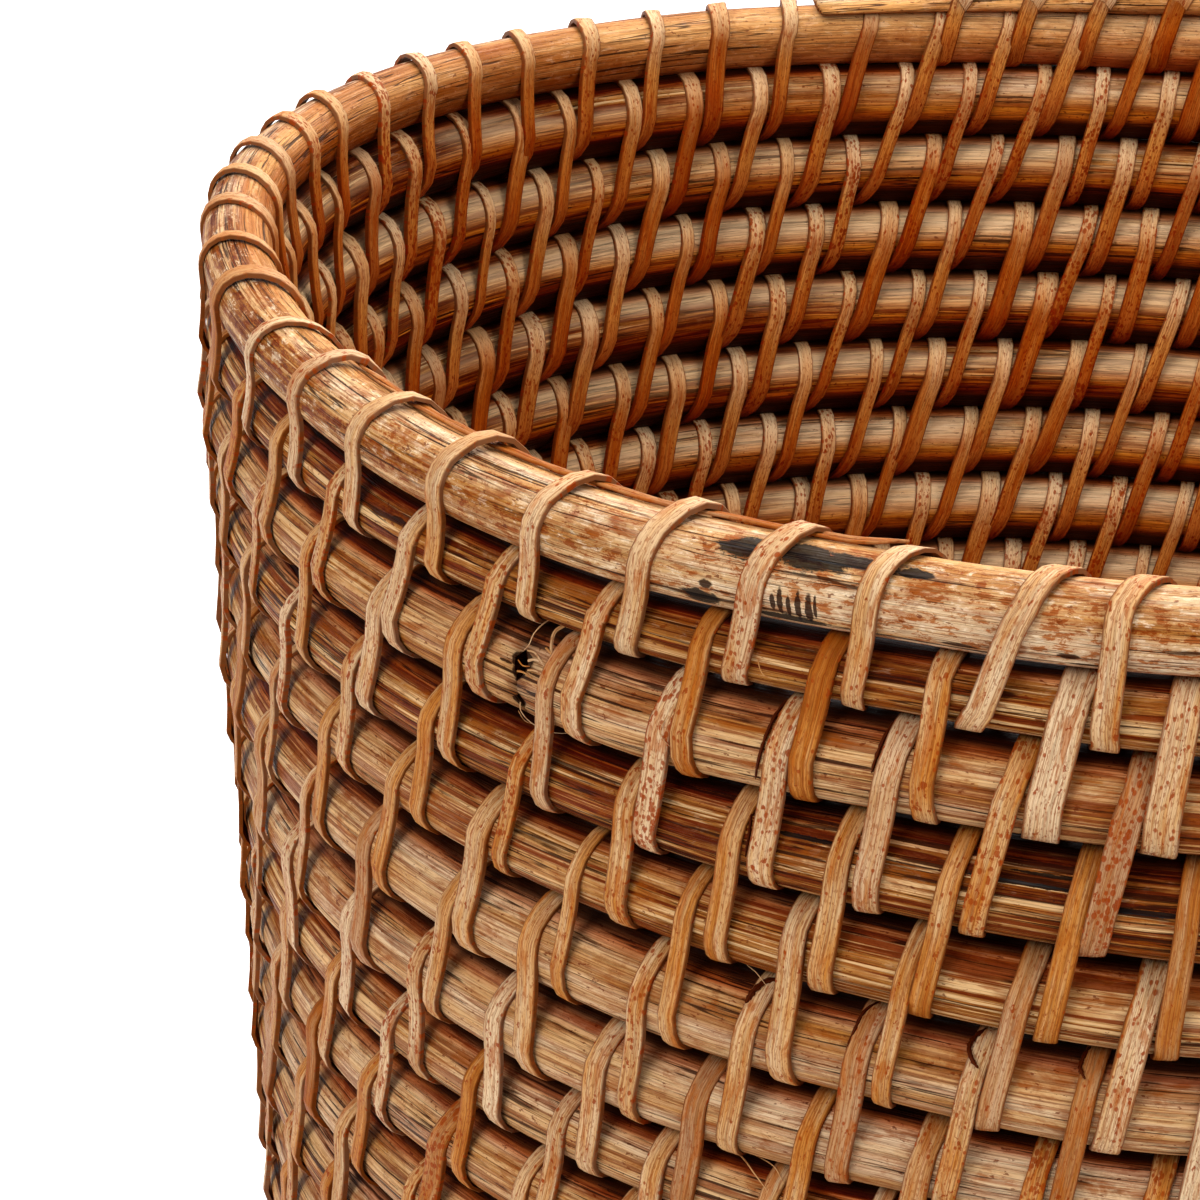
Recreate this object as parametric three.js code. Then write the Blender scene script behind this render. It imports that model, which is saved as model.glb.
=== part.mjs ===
// Woven planter: a round, open basket coiled from rattan cane that widens towards its rim.
// A flat spiral makes the base, and the same coil then climbs counter-clockwise, course on course,
// up the wall. The last cane is pared to a long thin tail that lies on the inner shoulder of the
// course below it. A strip of split cane lashes the top two courses together, stitch by stitch.
// Millimetres, +Z up, origin on the standing surface under the middle of the planter.

import * as THREE from 'three';
import { mergeVertices } from 'three/addons/utils/BufferGeometryUtils.js';

// Cane and coil
const CANE_DIAMETER = 9;
const RIM_RADIUS = 130; // from the axis of the coil to the axis of the rim cane
const FOOT_RADIUS = 113.8; // the same for the lowest course of the wall
const BASE_START_RADIUS = 8.2; // the same for the start of the base, in the middle
const WALL_TURNS = 22;
const FOOT_FLAT = 0.9; // depth shaved off the underside of the cane that the planter stands on
const COIL_END_ANGLE = 110; // degrees counter-clockwise from +X to the tip of the tail
const OUT_OF_ROUND = 4.5; // the handmade wall swells this much at three places and dips between them
const SWELL_ANGLE = 14; // degrees, the middle of one swelling

// Lengths of cane, which meet end to end
const WALL_CANES = 5; // below the rim cane
const RIM_CANE_TURNS = 2.69;
const BUTT_GAP = 0.3;

// Pared tail at the end of the rim cane
const TAIL_LENGTH = 145;
const TAIL_TIP_THICKNESS = 1.8;
const TAIL_TIP_WIDTH = 6;
const TAIL_LEAN = 52; // degrees towards the inside from straight above the course below

// Rim lashing: split cane, wound over the top course and under the second one
const STRIP_WIDTH = 3.2;
const STRIP_THICKNESS = 0.9;
const STRIP_CLEARANCE = 0.3;
const STITCH_SPACING = 12.4;
const FIRST_STITCH = 2.5; // from the tip of the tail to the middle of the first stitch
const OUTSIDE_LEAN = 0.3; // share of the spacing that a stitch moves on while it climbs the outside
const CROSSING = 0.06; // share of the rest that it moves on while it crosses the top, or the bottom

// Sliver of cane skin, held under the stitches on the inner shoulder of the rim
const SLIVER_WIDTH = 4;
const SLIVER_THICKNESS = 0.7;
const SLIVER_START_ANGLE = 206;
const SLIVER_END_ANGLE = 245;

// Facets
const STEPS = 24; // in a turn of the coil
const INNER_STEPS = 16; // in a turn of the base closer to the middle than INNER_RADIUS
const INNER_RADIUS = 60;
const START_STEP = 1 / 6; // of a turn, so that the cane of the base starts with a straight stretch

// The lashing passes between two courses, so its strip sets the gap between them.
const COURSE_GAP = STRIP_THICKNESS + 2 * STRIP_CLEARANCE;
const PITCH = CANE_DIAMETER + COURSE_GAP;
const HALF = CANE_DIAMETER / 2;
const FACET_HALF = HALF / 2; // half the width of the cane's flat top facet
const BASE_HEIGHT = HALF - FOOT_FLAT; // of the cane's axis in the base
const BASE_TURNS = (FOOT_RADIUS - BASE_START_RADIUS) / PITCH;
const RIM_LENGTH = 2 * Math.PI * RIM_RADIUS;
const TAIL_TURNS = TAIL_LENGTH / RIM_LENGTH;
const radians = THREE.MathUtils.degToRad;

const strawCane = { color: 0xc49a62, roughness: 0.55, metalness: 0 };
const brownCane = { color: 0xa8733c, roughness: 0.6, metalness: 0 };
const tanStrip = { color: 0xd0a36a, roughness: 0.5, metalness: 0 };
const redSkin = { color: 0x8a4a24, roughness: 0.6, metalness: 0 };

// A place on the coil is given in turns: 0 where the wall starts, WALL_TURNS at the tip of the
// tail, and negative in the base.
function angleAt(turn) {
  return radians(COIL_END_ANGLE) + 2 * Math.PI * (turn - WALL_TURNS);
}

function turnAtRim(degrees) {
  return WALL_TURNS - 1 + (degrees - COIL_END_ANGLE) / 360;
}

// Radius and height of the cane's axis. The first turn of the wall rolls up and over the last turn
// of the base, always one pitch away from it, and the wall then widens evenly.
function coilPath(turn) {
  if (turn <= 0) return { radius: FOOT_RADIUS + PITCH * turn, height: BASE_HEIGHT };
  const height = BASE_HEIGHT + PITCH * turn;
  if (turn <= 1) {
    const overBase = FOOT_RADIUS + PITCH * (turn - 1);
    return { radius: overBase + PITCH * Math.sqrt(1 - turn * turn), height };
  }
  const share = (turn - 1) / (WALL_TURNS - 1);
  return { radius: THREE.MathUtils.lerp(FOOT_RADIUS, RIM_RADIUS, share), height };
}

function place(turn, outward, upward) {
  const { radius, height } = coilPath(turn);
  const angle = angleAt(turn);
  const swelling = OUT_OF_ROUND * (radius / RIM_RADIUS) * Math.cos(3 * (angle - radians(SWELL_ANGLE)));
  const r = radius + swelling + outward;
  return new THREE.Vector3(r * Math.cos(angle), r * Math.sin(angle), height + upward);
}

// The six corners of the cane's section, as [outward, upward] from its path, the flat top first.
// Where the planter stands on it the underside is shaved flat. In the tail the section thins, and
// it moves round the course below it towards the inside, with the course gap kept between them.
function caneCorners(turn) {
  const under = Math.min(HALF, coilPath(turn).height);
  const underHalf = HALF - ((HALF - FACET_HALF) * under) / HALF;
  const top = [[FACET_HALF, HALF], [-FACET_HALF, HALF]];
  const section = [...top, [-HALF, 0], [-underHalf, -under], [underHalf, -under], [HALF, 0]];
  const share = THREE.MathUtils.clamp((turn - WALL_TURNS + TAIL_TURNS) / TAIL_TURNS, 0, 1);
  if (share === 0) return section;
  const thickness = THREE.MathUtils.lerp(CANE_DIAMETER, TAIL_TIP_THICKNESS, share);
  const width = THREE.MathUtils.lerp(CANE_DIAMETER, TAIL_TIP_WIDTH, share);
  const lean = radians(TAIL_LEAN) * THREE.MathUtils.smoothstep(share, 0, 1);
  const reach = HALF + COURSE_GAP + thickness / 2;
  return section.map(([x, y]) => {
    const across = (x * width) / CANE_DIAMETER;
    const away = reach + (y * thickness) / CANE_DIAMETER;
    const outward = across * Math.cos(lean) - away * Math.sin(lean);
    return [outward, across * Math.sin(lean) + away * Math.cos(lean) - PITCH];
  });
}

// All pieces follow the facets of the coil: a place between two stations lies on the straight line
// that joins them.
function onFacet(turn, pointAt) {
  const station = Math.floor(turn * STEPS + 1e-9);
  const share = turn * STEPS - station;
  const start = pointAt(station / STEPS);
  return share < 1e-6 ? start : start.lerp(pointAt((station + 1) / STEPS), share);
}

function stationsBetween(start, end) {
  const stations = [start];
  for (let i = Math.floor(start * STEPS) + 1; i / STEPS < end - 1e-6; i += 1) stations.push(i / STEPS);
  return [...stations, end];
}

// A closed body through rings of points, with a flat cap at each end.
function loft(rings) {
  const sides = rings[0].length;
  const faces = [];
  for (let i = 0; i < rings.length - 1; i += 1) {
    for (let k = 0; k < sides; k += 1) {
      const a = i * sides + k;
      const b = i * sides + ((k + 1) % sides);
      faces.push(a, b, b + sides, a, b + sides, a + sides);
    }
  }
  const last = (rings.length - 1) * sides;
  for (let k = 1; k < sides - 1; k += 1) {
    faces.push(0, k + 1, k);
    faces.push(last, last + k, last + k + 1);
  }
  const points = rings.flat();
  if (enclosedVolume(points, faces) < 0) faces.reverse();
  const geometry = new THREE.BufferGeometry().setFromPoints(points);
  geometry.setIndex(faces);
  return mergeVertices(geometry);
}

// Six times the volume, negative where the faces point inwards.
function enclosedVolume(points, faces) {
  let volume = 0;
  for (let i = 0; i < faces.length; i += 3) {
    const [a, b, c] = [0, 1, 2].map((k) => points[faces[i + k]]);
    volume += a.dot(new THREE.Vector3().crossVectors(b, c));
  }
  return volume;
}

function caneRing(turn) {
  return [0, 1, 2, 3, 4, 5].map((k) => onFacet(turn, (t) => place(t, ...caneCorners(t)[k])));
}

// Canes are cut halfway along a facet, so that their ends are straight and meet square.
function nearestCut(turn) {
  return (Math.floor(turn * STEPS) + 0.5) / STEPS;
}

function halfButtGap(turn) {
  return BUTT_GAP / (4 * Math.PI * coilPath(turn).radius);
}

function caneRings(start, end) {
  const tip = end === WALL_TURNS ? end : end - halfButtGap(end);
  return stationsBetween(start + halfButtGap(start), tip).map(caneRing);
}

// The inner turns of the base are small, so longer steps are fine enough for them.
function baseRings(end) {
  const stations = [-BASE_TURNS];
  const innerEnd = (INNER_RADIUS - FOOT_RADIUS) / PITCH;
  for (let turn = START_STEP - BASE_TURNS; turn < innerEnd; turn += 1 / INNER_STEPS) stations.push(turn);
  const inner = stations.map((t) => caneCorners(t).map(([x, y]) => place(t, x, y)));
  const outerStart = Math.ceil((stations.at(-1) + 1 / INNER_STEPS) * STEPS) / STEPS;
  return [...inner, ...stationsBetween(outerStart, end - halfButtGap(end)).map(caneRing)];
}

// Least distance between points on the skin of one cane that are at least half a turn apart.
function leastGap(rings) {
  const skin = rings.map((ring) => ring.concat(ring.map((p, k) => p.clone().lerp(ring.at(k - 1), 0.5))));
  let least = Infinity;
  for (let i = 0; i < skin.length; i += 1) {
    for (let j = i + INNER_STEPS / 2; j < Math.min(skin.length, i + 1.5 * STEPS); j += 1) {
      for (const p of skin[i]) {
        for (const q of skin[j]) least = Math.min(least, p.distanceTo(q));
      }
    }
  }
  return least;
}

// Corners of the sliver's section. It lies along the rim cane's upper inner facet, clear of it.
function sliverCorners(turn) {
  const corners = caneCorners(turn).map(([x, y]) => new THREE.Vector2(x, y));
  const [, top, side] = corners;
  const along = side.clone().sub(top).normalize();
  const out = new THREE.Vector2(along.y, -along.x);
  const start = (top.distanceTo(side) - SLIVER_WIDTH) / 2;
  const corner = (s, height) => top.clone().addScaledVector(along, s).addScaledVector(out, height);
  const far = STRIP_CLEARANCE + SLIVER_THICKNESS;
  const end = start + SLIVER_WIDTH;
  return [corner(start, STRIP_CLEARANCE), corner(end, STRIP_CLEARANCE), corner(end, far), corner(start, far)];
}

function sliverRings() {
  const stations = stationsBetween(turnAtRim(SLIVER_START_ANGLE), turnAtRim(SLIVER_END_ANGLE));
  const ring = (turn) => [0, 1, 2, 3].map((k) => onFacet(turn, (t) => place(t, ...sliverCorners(t)[k])));
  return stations.map(ring);
}

function isOverSliver(turn) {
  const start = Math.floor(turnAtRim(SLIVER_START_ANGLE) * STEPS);
  const end = Math.ceil(turnAtRim(SLIVER_END_ANGLE) * STEPS);
  const station = Math.round(turn * STEPS);
  return station >= start && station <= end;
}

// The strip lies on a snug polygon round two stacked canes. These are the directions in degrees of
// its sides, and corner k of the strip is where sides k and k + 1 meet: up the outside, over the
// top and down the inside.
const slope = THREE.MathUtils.radToDeg(Math.atan2(HALF - FACET_HALF, HALF));
const SIDES = [-90, -slope, 0, slope, 90, 180 - slope, 180, 180 + slope];
const CLIMB = [0, 0.25, 0.75, 1]; // share of a climb or descent that is behind each of its corners

function wrapCorner(turn, k, offset) {
  const here = place(turn, 0, 0);
  const below = place(turn - 1, 0, 0);
  const stepOut = Math.hypot(below.x, below.y) - Math.hypot(here.x, here.y);
  const stepUp = below.z - here.z;
  const points = caneCorners(turn).map(([x, y]) => new THREE.Vector2(x, y));
  points.push(...caneCorners(turn - 1).map(([x, y]) => new THREE.Vector2(x + stepOut, y + stepUp)));
  if (isOverSliver(turn)) points.push(...sliverCorners(turn));
  const side = (index) => {
    const angle = radians(SIDES[index % SIDES.length]);
    const normal = new THREE.Vector2(Math.cos(angle), Math.sin(angle));
    return { normal, reach: Math.max(...points.map((p) => p.dot(normal))) + offset };
  };
  const a = side(k);
  const b = side(k + 1);
  const cross = a.normal.cross(b.normal);
  const outward = (a.reach * b.normal.y - b.reach * a.normal.y) / cross;
  const upward = (b.reach * a.normal.x - a.reach * b.normal.x) / cross;
  return place(turn, outward, upward);
}

// How far along the coil corner k of a stitch lies from the stitch's start, in spacings.
function stitchProgress(k) {
  if (k < CLIMB.length) return OUTSIDE_LEAN * CLIMB[k];
  const inside = CROSSING + (1 - 2 * CROSSING) * CLIMB[k - CLIMB.length];
  return OUTSIDE_LEAN + (1 - OUTSIDE_LEAN) * inside;
}

function lashingRings() {
  const stitches = Math.floor((RIM_LENGTH - FIRST_STITCH) / STITCH_SPACING);
  const outer = STRIP_CLEARANCE + STRIP_THICKNESS;
  const rings = [];
  for (let i = 0; i < stitches; i += 1) {
    for (let k = 0; k < SIDES.length; k += 1) {
      const middle = FIRST_STITCH + (i + stitchProgress(k)) * STITCH_SPACING;
      const edge = (across, offset) => {
        const turn = WALL_TURNS - 1 + (middle + across * STRIP_WIDTH) / RIM_LENGTH;
        return onFacet(turn, (t) => wrapCorner(t, k, offset));
      };
      const inside = [edge(-0.5, STRIP_CLEARANCE), edge(0.5, STRIP_CLEARANCE)];
      rings.push([...inside, edge(0.5, outer), edge(-0.5, outer)]);
    }
  }
  return rings;
}

const planter = new THREE.Group();
planter.name = 'woven_planter';

// Three swellings put the middle of the planter off the axis of its coil, which is moved to bring
// that middle back over the origin.
const coil = new THREE.Group();
coil.position.x = -OUT_OF_ROUND * Math.cos(radians(3 * SWELL_ANGLE));
coil.position.y = OUT_OF_ROUND * Math.sin(radians(3 * SWELL_ANGLE));
planter.add(coil);

function addPiece(name, rings, look) {
  const mesh = new THREE.Mesh(loft(rings), new THREE.MeshStandardMaterial({ ...look, flatShading: true }));
  mesh.name = name;
  coil.add(mesh);
}

function addCane(name, rings, look) {
  addPiece(name, rings, look);
  console.log(`${name}: least gap to itself ${leastGap(rings).toFixed(2)} mm`);
}

const wallStart = nearestCut(0);
const rimCaneStart = nearestCut(WALL_TURNS - RIM_CANE_TURNS);
const caneTurns = (rimCaneStart - wallStart) / WALL_CANES;

addCane('base_coil_cane', baseRings(wallStart), strawCane);
for (let i = 0; i < WALL_CANES; i += 1) {
  const start = nearestCut(wallStart + i * caneTurns);
  const end = nearestCut(wallStart + (i + 1) * caneTurns);
  addCane(`wall_cane_${i + 1}`, caneRings(start, end), i % 2 ? strawCane : brownCane);
}
addCane('rim_cane', caneRings(rimCaneStart, WALL_TURNS), strawCane);
addPiece('rim_sliver', sliverRings(), redSkin);
addPiece('rim_lashing', lashingRings(), tanStrip);

export default planter;
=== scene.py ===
import math

import bpy
import numpy as np
from mathutils import Matrix, Vector


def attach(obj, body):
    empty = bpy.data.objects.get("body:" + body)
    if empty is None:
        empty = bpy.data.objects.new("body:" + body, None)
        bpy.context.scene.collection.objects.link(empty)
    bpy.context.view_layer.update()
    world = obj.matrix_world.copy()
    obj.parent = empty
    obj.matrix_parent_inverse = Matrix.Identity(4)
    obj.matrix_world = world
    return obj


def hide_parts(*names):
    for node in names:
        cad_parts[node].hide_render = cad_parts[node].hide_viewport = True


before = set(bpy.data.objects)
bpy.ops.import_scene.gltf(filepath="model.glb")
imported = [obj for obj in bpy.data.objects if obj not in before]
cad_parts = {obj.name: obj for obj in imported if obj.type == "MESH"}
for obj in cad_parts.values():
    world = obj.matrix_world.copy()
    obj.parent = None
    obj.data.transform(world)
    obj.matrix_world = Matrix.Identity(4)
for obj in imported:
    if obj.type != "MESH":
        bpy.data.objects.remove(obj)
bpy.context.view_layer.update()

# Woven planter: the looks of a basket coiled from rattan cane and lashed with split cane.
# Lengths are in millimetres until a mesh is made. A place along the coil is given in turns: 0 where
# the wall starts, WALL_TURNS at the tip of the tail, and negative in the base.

MM = 0.001

# The coil, as the solids have it
PITCH = 10.5
RIM_RADIUS = 130.0
FOOT_RADIUS = 113.8
BASE_START_RADIUS = 8.2
BASE_HEIGHT = 3.6
WALL_TURNS = 22
COIL_END_ANGLE = 110.0
OUT_OF_ROUND = 4.5
SWELL_ANGLE = 14.0
WALL_CANES = 5
SPLICE_TURN = 19.3204
TAIL_LENGTH = 145.0
BASE_TURNS = (FOOT_RADIUS - BASE_START_RADIUS) / PITCH
WALL_START = 0.5 / 24  # turns; where the first cane of the wall starts
RIM_LENGTH = 2 * math.pi * RIM_RADIUS
END_GAP = 0.35 / RIM_LENGTH  # turns that each cane's end stays back
TAIL_TURNS = TAIL_LENGTH / RIM_LENGTH
CANE_CUTS = np.linspace(WALL_START, SPLICE_TURN, WALL_CANES + 1)
CENTRE = np.array([-OUT_OF_ROUND * math.cos(math.radians(3 * SWELL_ANGLE)),
                   OUT_OF_ROUND * math.sin(math.radians(3 * SWELL_ANGLE)), 0.0])

# What the real cane adds to the plain coil
BASE_LIFT = 1.3  # the base rests on its stitches
CANE_GAP = -0.1  # the canes are pressed together
NEAR_GAP = 0.6  # more of a gap on the side towards the camera
NEAR_SIDE = 245.0  # degrees
RIM_CANE_RADIUS = 4.35
RIM_BLEND = (1.25, 0.35)  # turns before the tip where the rim sets in, and turns that this takes
TAIL_TIP = (4.2, 1.2)  # width and thickness
TAIL_LEAN = 24.0
TAIL_GAP = 0.2  # under the tip of the tail
# How far the coil wavers: its radius, the height of its grooves, and its thickness as a share
RADIUS_WAVER = 0.35
HEIGHT_WAVER = 0.25
THICKNESS_WAVER = 0.012
# How far the groove under each of the upper courses, counted from the rim, lies off the plain helix
# at these angles, in degrees
GROOVE_ANGLES = (150, 190, 232, 245, 257, 285, 330)
GROOVE_SHIFTS = {
    1: (0, -0.9, -1.2, -0.5, -0.6, -0.4, 0),
    2: (0, 0.8, 1.6, 2.05, 1.5, 0.7, 0),
    3: (0, 0.4, 0.8, 1.75, 1.3, 0.5, 0),
    4: (0, 0.5, 0.98, 0.65, -0.17, -0.2, 0),
    5: (0, 0.7, 1.3, 0.65, -0.57, -0.4, 0),
    6: (0, -0.2, -0.3, -0.2, -1.4, -0.7, 0),
    7: (0, -0.5, -1.15, -0.4, -1.0, -0.5, 0),
}

# Stitches
SPACING_ANGLE = 4.8  # degrees between stitches, where they are close
WIDE_EXTRA = 14.48  # the stitches are wider apart round WIDE_ANGLE
WIDE_ANGLE = 199.1
WIDE_SPREAD = 41.0
STITCHES_PER_TURN = 68.58
COUNT_SHIFT = -23.98  # puts stitch 0 just past the start of the top course
BASE_SPACING = 11.6
STRIP_WIDTH = 2.5
STRIP_THICKNESS = 0.62
STRIP_REACH = 1.2  # the most that a strip's arch over a flat cane adds to half its thickness
# Stitches that face the camera, by number: the shifts of their top and bottom in spacings, their
# width, and their tone from pale to orange
NEAR_STITCHES = {
    19: (0.02, -0.03, 2.6, -0.4), 20: (-0.02, -0.04, 2.8, -0.5), 21: (-0.10, -0.03, 2.5, -0.2),
    22: (0.12, -0.08, 2.8, -0.4), 23: (-0.17, 0.03, 2.8, -0.1),
    -49: (-0.08, 0.01, 2.3, 0.9), -48: (-0.02, 0.02, 2.6, 1.5), -47: (-0.11, 0.04, 2.6, 0.3),
    -46: (-0.03, -0.02, 3.8, -0.8), -45: (-0.16, -0.06, 3.6, -0.3),
    -118: (0.08, 0.02, 2.8, -0.7), -117: (0.08, 0.09, 2.8, -0.6), -116: (0.0, -0.01, 2.8, -0.5),
    -115: (-0.01, -0.13, 2.7, 0.5), -114: (-0.05, -0.13, 3.0, -0.6),
    -187: (0.09, 0.19, 2.6, 0.2), -186: (0.09, 0.10, 2.5, 0.4), -185: (0.02, 0.03, 2.6, 0.3),
    -184: (-0.05, -0.12, 2.4, 0.8), -183: (-0.02, -0.05, 2.5, 1.0), -182: (-0.16, -0.04, 2.5, 0.7),
    -255: (0.07, 0.12, 2.1, 0.5), -254: (0.02, 0.15, 2.8, 0.1), -253: (0.02, 0.01, 2.1, 0.3),
    -252: (-0.01, -0.08, 2.6, -0.2), -251: (-0.01, -0.07, 3.1, -0.5),
    -324: (0.10, 0.09, 2.3, 0.0), -323: (0.09, 0.03, 2.5, 0.1), -322: (0.06, 0.04, 2.6, -0.3),
    -321: (0.03, -0.02, 2.5, -0.1), -320: (-0.04, -0.05, 2.4, 0.5),
    -392: (0.01, 0.01, 2.6, -0.1), -391: (0.04, 0.0, 2.4, 0.6), -390: (0.04, 0.0, 2.8, 0.3),
    -389: (0.0, 0.0, 2.4, 0.8), -388: (0.03, 0.0, 2.6, 0.9),
}
# Where the ends of two canes, broken and hollow, leave a hole: degrees round the cane, spread, depth
SPLICE_HOLES = ((19, 13, 1.25), (-27, 8, 0.9))
# Black lacquer: course from the rim, then the angle and the degrees round the cane of each patch's
# middle, then half of its size in both
LACQUER = [
    (1, 237.9, 51, 1.5, 19), (1, 240.7, 54, 1.8, 21), (1, 243.0, 60, 2.0, 12), (1, 245.5, 56, 0.7, 8),
    (1, 235.7, -36, 0.9, 16), (1, 240.2, -43, 1.7, 8), (4, 241.0, 27, 1.4, 3), (4, 251.0, 24, 2.4, 2.5),
    (4, 255.6, 12, 3.0, 3), (4, 252.0, 36, 1.8, 2),
]
# Brown ticks, scars and cracks, and the painted shade in the hollow of the torn splice, given in the same
# way
SCARS_AND_HOLLOW_SHADE = [
    (1, 239.4, -18, 0.11, 12), (1, 239.75, -14, 0.13, 20), (1, 240.15, -19, 0.1, 18),
    (1, 240.6, -14, 0.13, 24),
    (1, 241.1, -19, 0.17, 22), (1, 241.4, -14, 0.09, 16), (1, 236.1, -10, 0.3, 7),
    (1, 247.8, -38, 0.8, 4), (1, 252.3, -30, 0.5, 5), (1, 253.2, -46, 0.9, 3),
    (2, 216.0, 14, 0.4, 10), (2, 215.2, 24, 0.6, 4), (3, 231.2, 15, 2.0, 1.6),
    # painted shade in the hollow of the torn splice
    (3, 225.4, 24, 0.5, 11), (3, 225.3, 8, 0.3, 9), (3, 225.2, -28, 0.35, 9), (3, 225.3, -9, 0.12, 12),
    (3, 226.8, 14, 0.9, 1.6), (3, 226.6, -8, 0.7, 2), (3, 224.5, 16, 0.5, 1.6), (3, 226.5, -34, 0.9, 2),
]
# The sliver of cane skin under the rim stitches
SLIVER = (math.radians(206 - 360), math.radians(241.6 - 360))
SLIVER_SIDE = 112.0  # degrees round the rim cane from its outer side
# Loose fibres: course from the rim, tone, radius, then points as angle, degrees round the cane, lift
FIBRES = [
    (3, 0.2, 0.09, [(226.9, 92, 1.2), (226.1, 72, 1.4), (225.7, 54, 1.0), (225.6, 42, 0.5),
                    (225.3, 34, 0.1)]),
    (3, 0.2, 0.24, [(227.0, 70, 1.3), (226.8, 62, 1.2), (226.8, 54, 0.8), (227.2, 38, 0.3),
                    (227.6, 30, 0.0)]),
    (3, 0.6, 0.12, [(226.6, 45, 0.4), (227.2, 40, 0.5), (227.5, 32, 0.1)]),
    (3, 0.0, 0.11, [(225.5, 36, 0.0), (226.1, 36, 0.3), (226.8, 29, 0.3), (227.5, 24, 0.0)]),
    (3, 0.8, 0.12, [(225.2, 10, -0.1), (225.7, 12, 0.1), (226.3, 9, 0.0)]),
    (3, 1.2, 0.08, [(225.1, 22, -0.1), (225.6, 19, 0.2), (226.0, 21, 0.1)]),
    (3, -0.5, 0.16, [(225.8, 26, 0.1), (226.4, 30, 0.35), (227.2, 26, 0.0)]),
    (3, 0.1, 0.12, [(225.9, 16, 0.0), (226.5, 19, 0.25), (227.3, 16, 0.0)]),
    (3, -0.2, 0.08, [(225.2, -30, 0.0), (225.2, -40, 0.5), (225.7, -52, 0.9), (226.6, -62, 0.9),
                     (227.4, -66, 0.4)]),
    (3, 0.3, 0.07, [(224.6, -50, 0.3), (224.9, -58, 0.9), (225.4, -58, 0.9)]),
    (2, 0.6, 0.07, [(238.6, 5, 0.1), (239.0, -14, 0.6), (239.9, -20, 0.3)]),
    (3, 0.5, 0.06, [(234.5, 30, 0.1), (234.2, 4, 0.9), (234.6, -14, 0.3)]),
    (6, 0.5, 0.07, [(236.8, 98, 1.6), (237.3, 76, 0.9), (238.2, 66, 0.9), (239.0, 56, 0.7)]),
    (8, 0.8, 0.1, [(236.4, 72, 0.5), (237.5, 60, 0.8), (238.4, 46, 0.9), (239.3, 32, 0.7)]),
    (8, 0.8, 0.08, [(236.8, 74, 0.6), (238.0, 68, 0.9), (239.2, 60, 0.9), (240.0, 44, 0.7)]),
]
# Black remnants of bark beside the tops of stitches: course, width, points as for the fibres
PEELS = [
    (6, 0.7, [(240.0, 78, 0.2), (238.9, 66, 0.45), (238.5, 54, 0.5), (238.3, 42, 0.45),
              (238.2, 34, 0.25)]),
    (6, 0.4, [(244.3, 78, 0.3), (243.8, 58, 0.6), (243.65, 40, 0.6), (243.5, 20, 0.55),
              (243.45, 8, 0.45)]),
    (6, 0.5, [(249.4, 76, 0.2), (248.95, 58, 0.5), (248.85, 46, 0.7), (249.1, 35, 0.95),
              (249.45, 28, 0.95)]),
    (6, 0.45, [(254.1, 78, 0.3), (253.9, 66, 0.5), (253.75, 50, 0.7), (253.8, 44, 0.9),
               (254.05, 36, 0.95)]),
    (3, 0.4, [(239.6, 66, 0.1), (239.4, 46, 0.15), (239.25, 24, 0.15), (239.05, 0, 0.1),
              (238.7, -34, 0.1)]),
    (4, 0.3, [(238.2, 44, 0.1), (238.35, 28, 0.15), (238.4, 12, 0.15), (238.3, -10, 0.1)]),
    (3, 0.4, [(244.8, 72, 0.1), (244.55, 46, 0.2), (244.4, 24, 0.2), (244.25, 4, 0.1)]),
]
# Where the cane is browner, on all courses and on the rim: degrees and spread
FAR_LEFT = (150, 22)
RIM_LEFT = (165, 33)
# Tone of the courses from the rim down: share of brown and of dark streaks, as the near side shows them
COURSE_TONES = [(0.16, 0.16), (0.8, 0.6), (0.46, 0.3), (0.9, 1.0), (0.42, 0.2), (0.25, 0.1), (0.2, 0.2),
                (0.5, 0.4)]


def srgb(r, g, b):
    """A colour given by its 0 to 255 values, as Blender's linear colour."""
    def linear(c):
        c /= 255
        return c / 12.92 if c <= 0.04045 else ((c + 0.055) / 1.055) ** 2.4
    return linear(r), linear(g), linear(b), 1.0


def ripple(x, seed, period):
    """Smooth noise along x between about -1 and 1, the same each run."""
    rng = np.random.default_rng(seed)
    x = np.asarray(x, float)
    total = np.zeros_like(x)
    weight = 0.0
    for octave in range(3):
        for _ in range(3):
            wavelength = period / 2 ** octave * rng.uniform(0.7, 1.4)
            total += np.sin(2 * math.pi * (x / wavelength + rng.random())) / 2 ** octave
            weight += 0.55 / 2 ** octave
    return total / weight


# The coil's path

def angle_at(turn):
    return math.radians(COIL_END_ANGLE) + 2 * math.pi * (turn - WALL_TURNS)


def coil_radius(turn):
    flat = FOOT_RADIUS + PITCH * turn
    heel = FOOT_RADIUS + PITCH * (turn - 1) + PITCH * np.sqrt(np.clip(1 - turn ** 2, 0, 1))
    wall = FOOT_RADIUS + (RIM_RADIUS - FOOT_RADIUS) * (turn - 1) / (WALL_TURNS - 1)
    radius = np.where(turn <= 0, flat, np.where(turn <= 1, heel, wall))
    swell = 3 * (angle_at(turn) - math.radians(SWELL_ANGLE))
    wobble = RADIUS_WAVER * ripple(turn * RIM_LENGTH, 11, 170) * np.clip(turn + BASE_TURNS, 0, 1)
    return radius + OUT_OF_ROUND * radius / RIM_RADIUS * np.cos(swell) + wobble


def groove_knots():
    knots = [(-50.0, 0.0)]
    for course in sorted(GROOVE_SHIFTS, reverse=True):
        for degrees, shift in zip(GROOVE_ANGLES, GROOVE_SHIFTS[course]):
            knots.append((WALL_TURNS - course + (degrees - COIL_END_ANGLE) / 360, shift))
    knots.append((WALL_TURNS + 1.0, 0.0))
    return np.array(knots)


GROOVES = groove_knots()


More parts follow.
